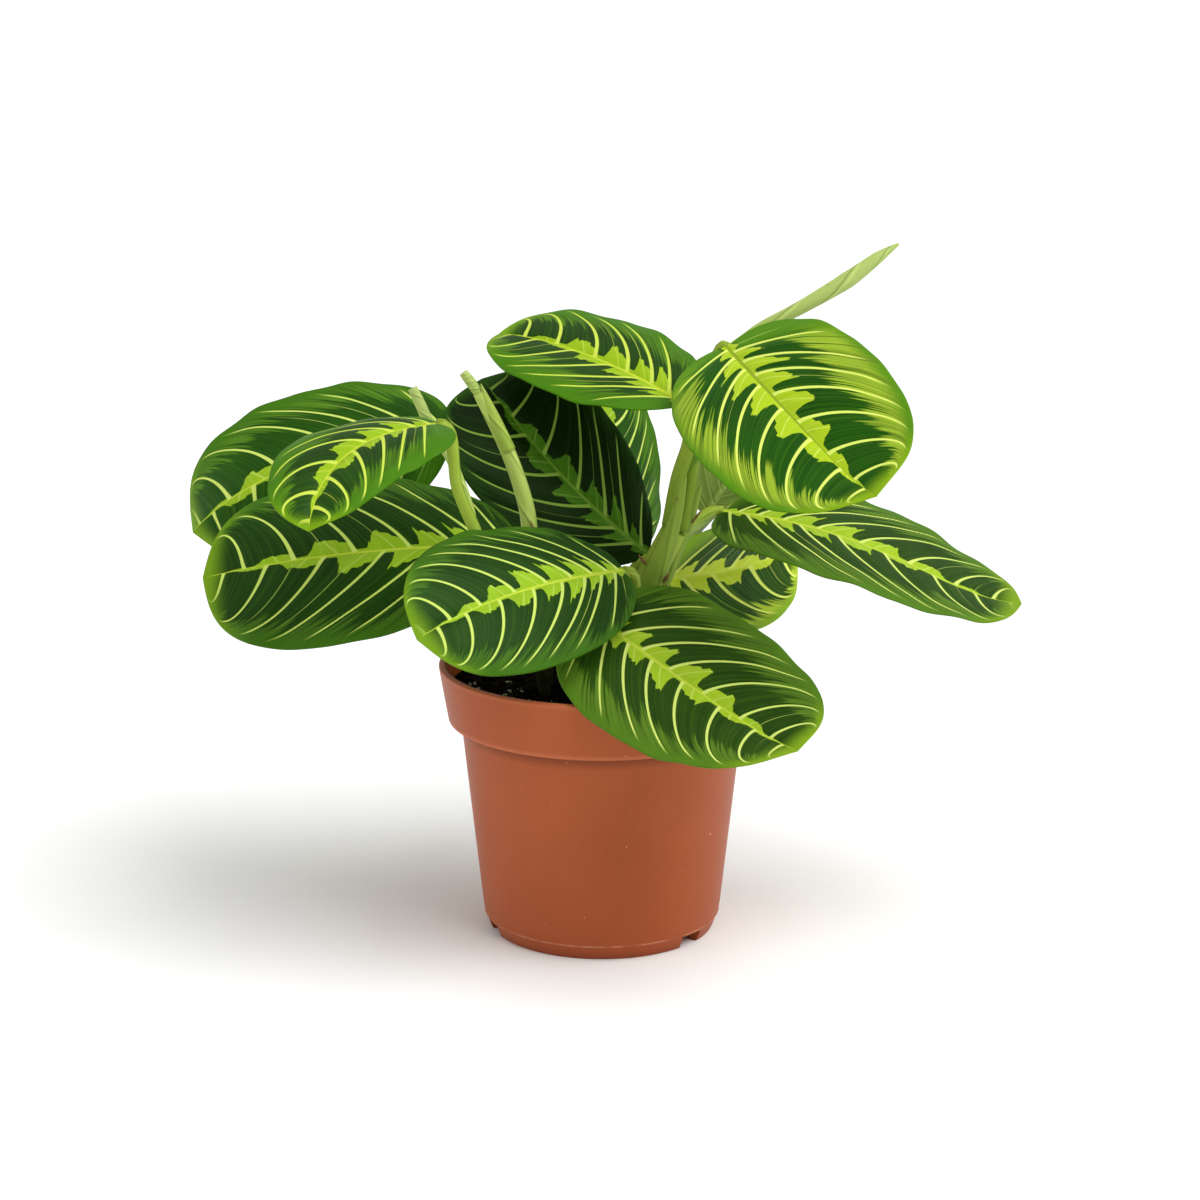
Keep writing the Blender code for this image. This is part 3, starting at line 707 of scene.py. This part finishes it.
def stalk(name, stops, skin, sides=20, ridges=0.03, rooted=False):
    """Stalk through stops, each a place with the half width and half depth there."""
    places = [Vector(stop[:3]) for stop in stops]
    start = (0, 0, 1) if rooted else (places[1] - places[0]).normalized()
    path = route(places, start, (places[-1] - places[-2]).normalized())
    sizes = sizes_along([stop[3:] for stop in stops], len(path))
    if rooted:
        path.insert(0, path[0] - Vector((0, 0, ROOTED_DEPTH)))
        sizes.insert(0, sizes[0])
    return tube(name, path, sizes, skin, sides, ridges)


# Leaf stalks: where each leaves the soil, if it does, the places that it passes, and its radius at both ends.
PETIOLES = {
    "petiole_back_left": dict(
        leaf="leaf_back_left", foot=(-20, 12), via=[(-24, 17, 128), (-34, 24, 151), (-46, 31.5, 169)]),
    "petiole_young_left": dict(
        leaf="leaf_young_left", foot=(-21, -13), radius=(2.4, 2.0),
        via=[(-28, -22, 117), (-37.5, -30.5, 139), (-44.5, -26, 155), (-51, -26, 171)]),
    "petiole_low_left": dict(leaf="leaf_low_left", foot=(-13, -1)),
    "petiole_front_left": dict(leaf="leaf_front_left", foot=(6, -4)),
    "petiole_front_right": dict(leaf="leaf_front_right", foot=(-11, -11)),
    "petiole_back_centre": dict(leaf="leaf_back_centre", foot=(2, 15), via=[(10.5, 14, 129)]),
    "petiole_behind": dict(leaf="leaf_behind", foot=(9, 36)),
    "petiole_low_right": dict(leaf="leaf_low_right", foot=(12, 19)),
    "petiole_hidden_right": dict(leaf="leaf_hidden_right", foot=(22, 42)),
    "petiole_right": dict(
        leaf="leaf_right", foot=(18, 6), radius=(2.2, 1.8),
        via=[(20, 9, 118), (23, 13, 132), (33, 26, 145.5)]),
    "petiole_top_left": dict(
        leaf="leaf_top_left", radius=(2.2, 1.7), broad=1.25,
        via=[(24.5, 4, 151), (27.5, 3, 168), (31.5, -1, 184)]),
    "petiole_top_right": dict(
        leaf="leaf_top_right", radius=(2.2, 1.8), broad=1.25,
        via=[(29.3, 4, 149), (32.5, 6, 170), (36, 11, 190)]),
}

# Stems and rolled leaves: places with half width and half depth. The rooted ones start in the soil.
ROOTED = ("stem_clump", "sheath_centre")
STEMS = {
    "stem_clump": [(9, 7, 94, 4.6, 3.2), (12, 5, 112, 4.8, 3.2), (17, 4, 130, 5.2, 3.3),
                   (26.2, 4, 149, 4.8, 2.8)],
    "sheath_centre": [(-21, -4, 94, 3.0, 3.0), (-24, -5, 125, 3.0, 3.0), (-26, -6, 150, 3.0, 3.0),
                      (-28, -6, 163, 2.9, 2.9), (-34, -6, 181, 2.7, 2.7), (-44, -6, 202, 2.2, 2.2)],
    "rolled_leaf_centre": [(-42.2, -6, 199.2, 1.7, 1.7), (-47, -6, 206, 1.9, 1.9),
                           (-49.5, -6, 209.3, 1.6, 1.6)],
    "rolled_leaf_left": [(-45.6, -25.2, 157, 0.9, 0.9), (-46.5, -22.4, 163, 1.2, 1.2),
                         (-54, -9, 178, 1.8, 1.8), (-62, 3, 188, 2.1, 2.1), (-65.5, 3, 196, 2.0, 2.0),
                         (-68.3, 3, 202, 1.8, 1.8)],
    "rolled_leaf_right": [(36.0, 10.4, 185, 0.9, 0.9), (39.8, 13.2, 192, 1.3, 1.3), (46, 17, 210, 1.7, 1.7),
                          (55, 17, 220, 2.0, 2.0), (72, 18, 229, 2.5, 2.5), (89, 19, 239, 3.1, 3.1),
                          (100, 20, 247, 2.2, 2.2), (107.5, 20, 252, 0.5, 0.5)],
}

# Sheaths that wrap the stems: places with half width and half depth.
SHEATHS = {
    "sheath_front": [(13, 2.0, 112, 3.8, 1.7), (17, 1.2, 128, 4.3, 1.6), (22, 1.2, 141, 3.8, 1.4),
                     (26.4, 1.8, 153, 2.6, 1.0), (29.4, 2.0, 166, 1.3, 0.5), (30.6, 2.4, 174, 0.3, 0.2)],
    "sheath_right": [(15, 7.0, 108, 3.4, 2.0), (19.5, 6.6, 124, 3.8, 2.0), (25.5, 6.4, 139, 3.6, 1.8),
                     (31.0, 7.4, 151, 2.6, 1.2), (34.6, 8.4, 160, 1.2, 0.5), (36.2, 9.4, 165, 0.3, 0.2)],
    "sheath_between": [(21, 6.0, 134, 3.0, 1.2), (26, 5.6, 150, 3.6, 1.2), (30.0, 5.2, 168, 3.4, 1.1),
                       (33.2, 5.4, 184, 2.8, 0.9), (36.0, 7.0, 198, 1.8, 0.7)],
    "sheath_joint": [(22, 10, 127, 2.2, 2.4), (25.5, 14, 136, 2.0, 3.6), (31, 22, 142.8, 1.5, 5.2),
                     (37, 30, 144.6, 1.0, 5.0), (42, 37, 147.0, 0.6, 2.0)],
    "sheath_tip": [(-33.4, -6.6, 181, 2.6, 2.6), (-38.2, -6.8, 192, 2.3, 2.2), (-41.4, -7.0, 200, 1.4, 1.3),
                   (-43.2, -7.2, 205.5, 0.2, 0.2)],
    "sheath_foot": [(7, 5.0, 94, 4.8, 3.6), (9.5, 4.6, 106, 4.8, 3.4), (13, 4.0, 119, 4.4, 3.0),
                    (17.6, 4.6, 131, 2.6, 2.0)],
}
SHEATH_OWNERS = {"sheath_tip": "sheath_centre", "sheath_joint": "petiole_right"}

# Dry brown remains of old sheaths: the stem that they cling to, and places with half width and half depth.
FLAKES = [
    ("stem_clump", [
        (16.4, 1.6, 136.5, 0.35, 0.3), (15.1, 0.2, 138.6, 0.85, 0.4), (13.4, 0.4, 141, 0.15, 0.15)]),
    ("stem_clump", [
        (22.4, 0, 130.5, 0.35, 0.3), (23.4, -0.9, 132.4, 0.85, 0.4), (24.4, -0.5, 134.2, 0.15, 0.15)]),
    ("stem_clump", [
        (31.4, 5.4, 150, 0.2, 0.2), (34.2, 5.6, 153.4, 0.5, 0.3), (36.6, 6.6, 156.4, 0.1, 0.1)]),
    ("sheath_centre", [
        (-23.6, -9, 150, 0.2, 0.2), (-24.6, -9.4, 153, 0.45, 0.25), (-25.6, -9.2, 156, 0.1, 0.1)]),
]


def petiole(name, leaf, skin, foot=None, via=(), radius=(2.0, 1.6), broad=1.0):
    """Leaf stalk from the soil or the clump to its blade, with a swollen joint just before the blade."""
    place, forward, _, _ = spine(LEAVES[leaf])
    places = [Vector(stop) for stop in via] + [Vector(place[0])]
    root = []
    if foot:
        root = [Vector((*foot, SOIL_LEVEL - ROOTED_DEPTH))]
        places.insert(0, Vector((*foot, SOIL_LEVEL)))
    start = (0, 0, 1) if foot else (places[1] - places[0]).normalized()
    path = root + route(places, start, Vector(forward[0]))
    first, last = radius
    sizes = sizes_along([(first * broad, first), (first * broad, first), (last, last)], len(path))
    swells = [1 + SWELLING * math.exp(-((stop - path[-1]).length / SWELLING_PLACE - 1) ** 2) for stop in path]
    sizes = [(wide * swell, deep * swell) for (wide, deep), swell in zip(sizes, swells)]
    return tube(name, path, sizes, skin, ridges=0.02)


def make_stalks():
    # Colour of the dark foot, partly painted shade under the leaves.
    foot = srgb(44, 48, 20)
    skin = stalk_skin("stalk_skin", foot, srgb(104, 136, 34), srgb(156, 180, 62), srgb(112, 84, 40))
    rolled = stalk_skin("rolled_leaf_skin", foot, srgb(140, 166, 62), srgb(176, 196, 100),
                        srgb(130, 108, 54), 1.5)
    spear = stalk_skin("spear_skin", foot, srgb(150, 176, 74), srgb(184, 204, 118), srgb(130, 120, 60), 2.5)
    for name, shape in PETIOLES.items():
        show(petiole(name + "_stalk", skin=skin, **shape), name)
    finishes = {"stem_clump": skin, "sheath_centre": rolled}
    for name, stops in STEMS.items():
        piece = stalk(name + "_stalk", stops, finishes.get(name, spear), rooted=name in ROOTED)
        show(piece, name)


def make_sheaths():
    # Colour of the dark foot, partly painted shade under the leaves.
    foot = srgb(52, 58, 22)
    wrapped = stalk_skin("sheath_tip_skin", foot, srgb(140, 166, 62), srgb(168, 190, 88),
                         srgb(130, 108, 54), 0.8)
    skin = stalk_skin("sheath_skin", foot, srgb(112, 142, 40), srgb(150, 176, 70), srgb(120, 90, 44), 0.5)
    # Darker green for the sheath between the two top petioles: partly its own colour, partly painted shade in
    # the gap between them.
    inner = stalk_skin("inner_sheath_skin", foot, srgb(70, 112, 16), srgb(104, 146, 28), srgb(90, 80, 30))
    dry = dried_skin()
    finishes = {"sheath_between": inner, "sheath_tip": wrapped}
    for name, stops in SHEATHS.items():
        piece = stalk(name, stops, finishes.get(name, skin), sides=24)
        show(piece, SHEATH_OWNERS.get(name, "stem_clump"))
    for i, (owner, stops) in enumerate(FLAKES):
        show(stalk(f"dry_flake_{i}", stops, dry, sides=12, ridges=0.0), owner)


# ---------------------------------------------------------------- pot and soil

# Half sections as radius and height. The pot's goes from under its floor up the outside and down the inside.
POT_PROFILE = [
    (0, 4.0), (40.0, 4.0), (40.2, NOTCH_HEIGHT), (43.3, NOTCH_HEIGHT), (43.75, 5.3), (44.0, 5.55),
    (44.0, 6.0), (43.95, 6.4), (44.4, 9.0), (52.0, 79.0), (56.6, 80.0), (59.9, 99.4), (60.0, 100.4),
    (59.2, 101.0),
    (57.8, 101.0), (55.0, 81.0), (50.4, 79.0), (42.8, 9.0), (40.8, 5.6), (0, 5.6),
]
FOOT_SECTION = [(38.6, 5.0), (38.6, 0.0), (41.6, 0.0), (42.75, 3.0), (43.5, 5.4), (40.0, 5.4)]
SOIL_PROFILE = [
    (0, 5.9), (40.0, 5.9), (42.5, 9.0), (50.1, 79.3), (54.7, 81.3), (56.0, 90.0), (56.1, SOIL_EDGE),
]

# Ripples of the soil's surface: radians per millimetre along X and Y, phase and height.
SOIL_WAVES = (
    (0.31, 0.17, 0.4, 0.45), (-0.22, 0.43, 1.9, 0.40), (0.83, -0.51, 2.2, 0.28), (0.61, 1.07, 5.1, 0.22),
    (-1.63, 0.92, 3.3, 0.16), (1.21, 2.03, 0.7, 0.14), (2.9, -1.7, 4.4, 0.10),
)


def lathe(name, profile, sides, material):
    """Turn a closed profile of (radius, height) about +Z; it starts and ends on the axis."""
    angles = math.tau * np.arange(sides) / sides
    inner = profile[1:-1]
    points = []
    for radius, height in inner:
        points += [(radius * math.cos(a), radius * math.sin(a), height) for a in angles]
    faces = ring_faces(sides, len(inner))
    for pole, ring in ((profile[0], 0), (profile[-1], len(inner) - 1)):
        points.append((0, 0, pole[1]))
        for k in range(sides):
            corners = (ring * sides + k, ring * sides + (k + 1) % sides, len(points) - 1)
            faces.append(corners[::-1] if ring == 0 else corners)
    return make_object(name, points, faces, [material])


def rounded(points, radius=0.6, steps=4):
    """The profile with each sharp corner eased."""
    eased = [points[0]]
    for before, corner, after in zip(points, points[1:], points[2:]):
        before, corner, after = Vector(before), Vector(corner), Vector(after)
        reach = min(radius, (before - corner).length / 2.2, (after - corner).length / 2.2)
        first = corner + (before - corner).normalized() * reach
        last = corner + (after - corner).normalized() * reach
        for i in range(steps + 1):
            t = i / steps
            eased.append(tuple(first * (1 - t) ** 2 + corner * 2 * t * (1 - t) + last * t ** 2))
    return eased + [points[-1]]


def foot_segments():
    """The foot ring in pieces between its notches, each a curved bar with rounded edges and closed ends."""
    section = rounded(FOOT_SECTION, 0.5) + [(38.9, 5.2)]
    count = len(section)
    half = math.degrees(NOTCH_WIDTH / 2 / FOOT_RADIUS)
    points, faces = [], []
    for azimuth, after in zip(NOTCH_AZIMUTHS, NOTCH_AZIMUTHS[1:] + NOTCH_AZIMUTHS[:1]):
        span = (after - azimuth) % 360
        first = len(points)
        for k in range(FOOT_STEPS + 1):
            turn = math.radians(azimuth + half + (span - 2 * half) * k / FOOT_STEPS)
            across, along = math.cos(turn), math.sin(turn)
            points += [(radius * across, radius * along, height) for radius, height in section]
        for k in range(FOOT_STEPS):
            for j in range(count):
                a, b = first + k * count + j, first + k * count + (j + 1) % count
                faces.append((a, b, b + count, a + count))
        faces.append(tuple(range(first, first + count))[::-1])
        faces.append(tuple(range(len(points) - count, len(points))))
    return points, faces


def make_pot():
    plastic = pot_plastic()
    shell = lathe("pot_shell", rounded(POT_PROFILE), POT_SIDES, plastic)
    foot = make_object("pot_foot_ring", *foot_segments(), [plastic], smooth=False)
    for piece in (shell, foot):
        show(piece, "pot")


def soil_height(x, y):
    """Height of the crumbly surface of the soil."""
    radius = np.hypot(x, y)
    crown = SOIL_CROWN + 1.2 * np.clip(1 - (radius / 50) ** 2, 0, 1)
    waves = sum(np.sin(x * a + y * b + c) * d for a, b, c, d in SOIL_WAVES)
    return crown + waves * np.clip((55.5 - radius) / 3, 0, 1)


def pebble_faces(places):
    """Faces of a cube whose sides are cut in four, by the numbers of its places from -1 to 1."""
    order = {place: i for i, place in enumerate(places)}
    quads = []
    for axis, side, a, b in itertools.product(range(3), (-1, 1), (-1, 0), (-1, 0)):
        ring = []
        for da, db in ((0, 0), (1, 0), (1, 1), (0, 1)):
            place = [0, 0, 0]
            place[axis] = side
            place[(axis + 1) % 3] = a + da
            place[(axis + 2) % 3] = b + db
            ring.append(order[tuple(place)])
        quads.append(tuple(ring if side > 0 else ring[::-1]))
    return quads


def pebbles(name, count, sizes, seed, material):
    """Rough little stones scattered over the soil, all in one piece."""
    rng = np.random.default_rng(seed)
    places = [place for place in itertools.product((-1, 0, 1), repeat=3) if any(place)]
    quads = pebble_faces(places)
    corners = np.array(places)
    corners = corners / np.linalg.norm(corners, axis=1)[:, None]
    points, faces = [], []
    for _ in range(count):
        radius, angle = SCATTER_RADIUS * math.sqrt(rng.uniform(0, 1)), rng.uniform(0, math.tau)
        x, y = radius * math.cos(angle), radius * math.sin(angle)
        size = rng.uniform(*sizes)
        shape = corners * rng.uniform(0.75, 1.15, (len(corners), 1)) * size * rng.uniform(0.7, 1.2, 3)
        spin = rng.uniform(0, math.tau)
        shape = np.stack([shape[:, 0] * math.cos(spin) - shape[:, 1] * math.sin(spin),
                          shape[:, 0] * math.sin(spin) + shape[:, 1] * math.cos(spin), shape[:, 2]], -1)
        faces += [tuple(len(points) + k for k in quad) for quad in quads]
        points += (shape + np.array([x, y, soil_height(x, y) + size * 0.3])).tolist()
    return make_object(name, points, faces, [material])


def make_soil():
    dark = peat()
    surface = [(radius, SOIL_EDGE) for radius in np.linspace(55.4, 0.8, SOIL_RINGS)] + [(0, SOIL_EDGE)]
    soil = lathe("soil_body", SOIL_PROFILE + surface, SOIL_SIDES, dark)
    for vertex in soil.data.vertices:
        x, y, z = np.array(vertex.co) / MM
        if z > SOIL_EDGE - 0.1:
            vertex.co.z = soil_height(x, y) * MM
    crumbs = pebbles("peat_crumbs", CRUMBS, (0.5, 1.5), 4, dark)
    grains = pebbles("perlite_grains", PERLITE_GRAINS, (0.45, 1.15), 9, perlite())
    for piece in (soil, crumbs, grains):
        show(piece, "soil")


# ---------------------------------------------------------------- stage

FLOOR_REACH = 60e3
SKY = 0.43
# Each light: name, strength, how far it spreads in degrees, and where it points.
LIGHTS = [
    ("key", 2.20, 50, (-0.60, 0.32, -1.0)),
    ("overhead", 0.55, 80, (-0.15, 0.25, -1.0)),
    ("side_left", 0.85, 50, (1.0, 0.10, -0.20)),
    ("side_right", 0.50, 50, (-1.0, 0.15, -0.20)),
]
CAMERA_PLACE = (0, -1.04, 0.388)
CAMERA_AIM = (0, 0, 0.124)


def aimed(direction):
    """Rotation that points a light or camera that way."""
    return Vector(direction).to_track_quat("-Z", "Y").to_euler()


def make_stage():
    corners = [(x * FLOOR_REACH, y * FLOOR_REACH, 0) for x, y in ((-1, -1), (1, -1), (1, 1), (-1, 1))]
    floor = make_object("studio_floor", corners, [(0, 1, 2, 3)], [studio_floor()])
    world = bpy.data.worlds.new("studio")
    world.use_nodes = True
    world.node_tree.nodes["Background"].inputs["Color"].default_value = (1, 1, 1, 1)
    world.node_tree.nodes["Background"].inputs["Strength"].default_value = SKY
    bpy.context.scene.world = world
    for name, strength, spread, direction in LIGHTS:
        sun = bpy.data.lights.new(name, "SUN")
        sun.energy = strength
        sun.angle = math.radians(spread)
        lamp = bpy.data.objects.new(name, sun)
        lamp.rotation_euler = aimed(direction)
        bpy.context.collection.objects.link(lamp)


def make_camera():
    camera = bpy.data.cameras.new("camera")
    camera.lens = 87.9
    camera.sensor_width = 36
    camera.shift_x = -0.0015
    camera.clip_end = 100
    view = bpy.data.objects.new("camera", camera)
    view.location = CAMERA_PLACE
    view.rotation_euler = aimed(Vector(CAMERA_AIM) - Vector(CAMERA_PLACE))
    bpy.context.collection.objects.link(view)
    bpy.context.scene.camera = view


bpy.context.scene.view_settings.view_transform = "Standard"
make_camera()
make_stage()
make_pot()
make_soil()
make_blades()
make_stalks()
make_sheaths()
